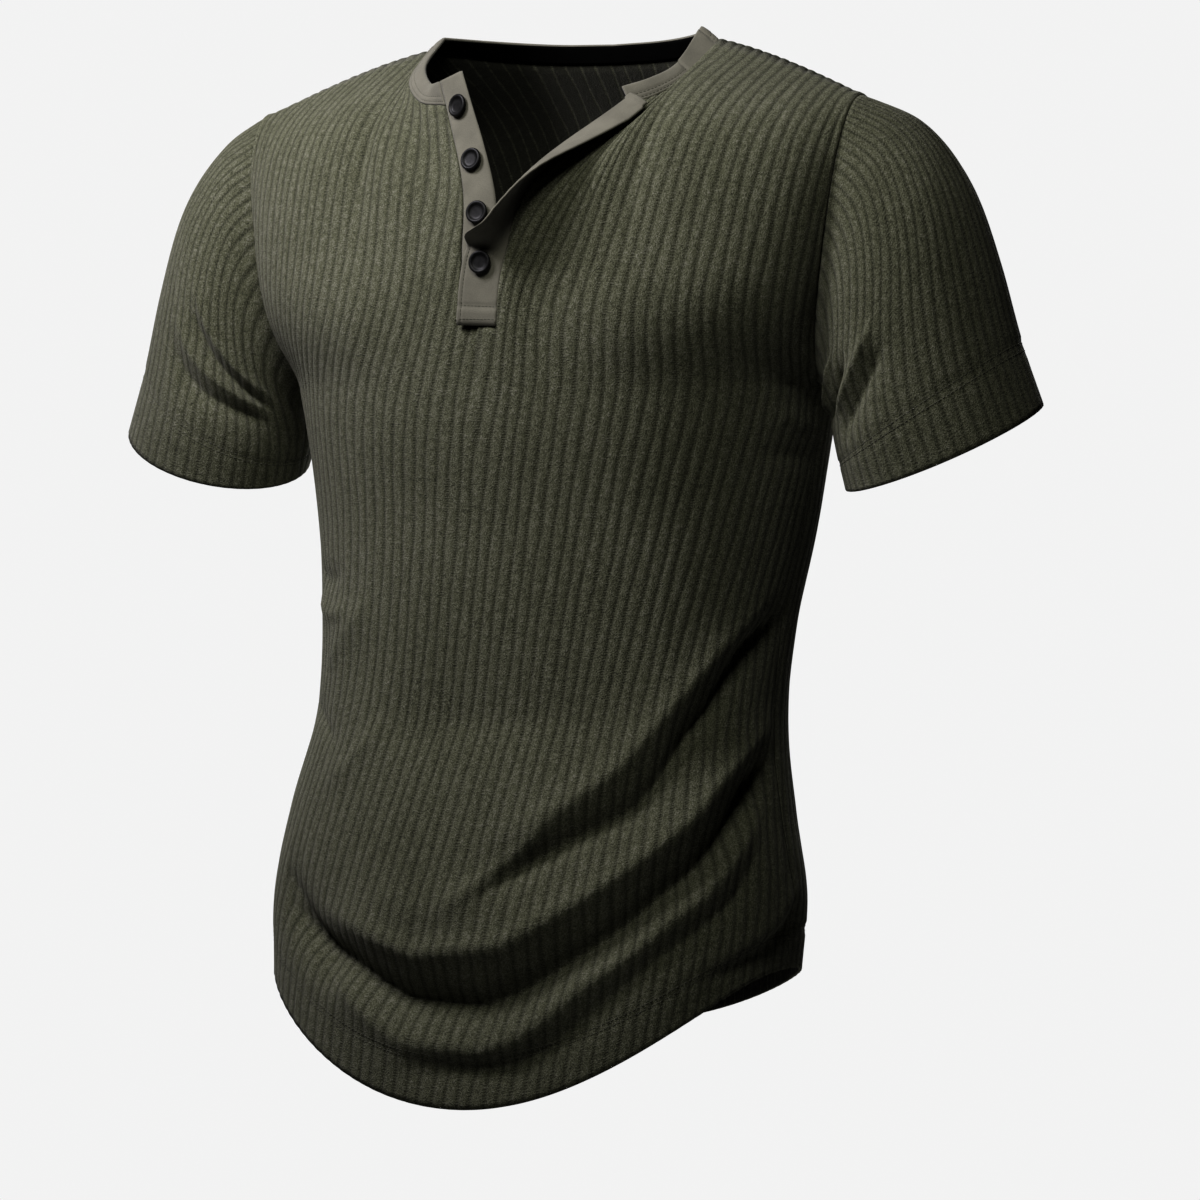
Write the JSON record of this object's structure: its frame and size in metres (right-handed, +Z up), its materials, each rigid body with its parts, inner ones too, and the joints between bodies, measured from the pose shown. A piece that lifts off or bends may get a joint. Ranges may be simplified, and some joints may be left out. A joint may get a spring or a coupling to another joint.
{
  "type": "henley shirt",
  "caption": "Short-sleeved ribbed knit henley shirt, filled out as worn, with a partly open button placket, set-in sleeves and a curved hem",
  "frame": {"origin": "midway between the two points where the neckline meets the shoulder seams, where the shirt hangs on its wearer", "axes": "+Z up toward the shoulders, -Y out of the front, +X toward the wearer's left sleeve"},
  "size_m": [0.6692, 0.2754, 0.6941],
  "materials": {
    "ribbed_knit": "matt olive-grey wide rib knit with a fine dry grain",
    "smooth_jersey": "matt plain jersey, folded and topstitched",
    "dark_tape": "matt black woven tape",
    "button": "polished black with a raised rim"
  },
  "bodies": {
    "root": {"front_panel": "ribbed_knit", "back_panel": "ribbed_knit", "sleeve_left": "ribbed_knit", "sleeve_right": "ribbed_knit", "neckband": "smooth_jersey", "neck_tape": "dark_tape", "placket_underlap": "smooth_jersey", "placket_overlap": "smooth_jersey", "button_1": "button", "button_2": "button", "button_3": "button", "button_4": "button"}
  },
  "joints": []
}
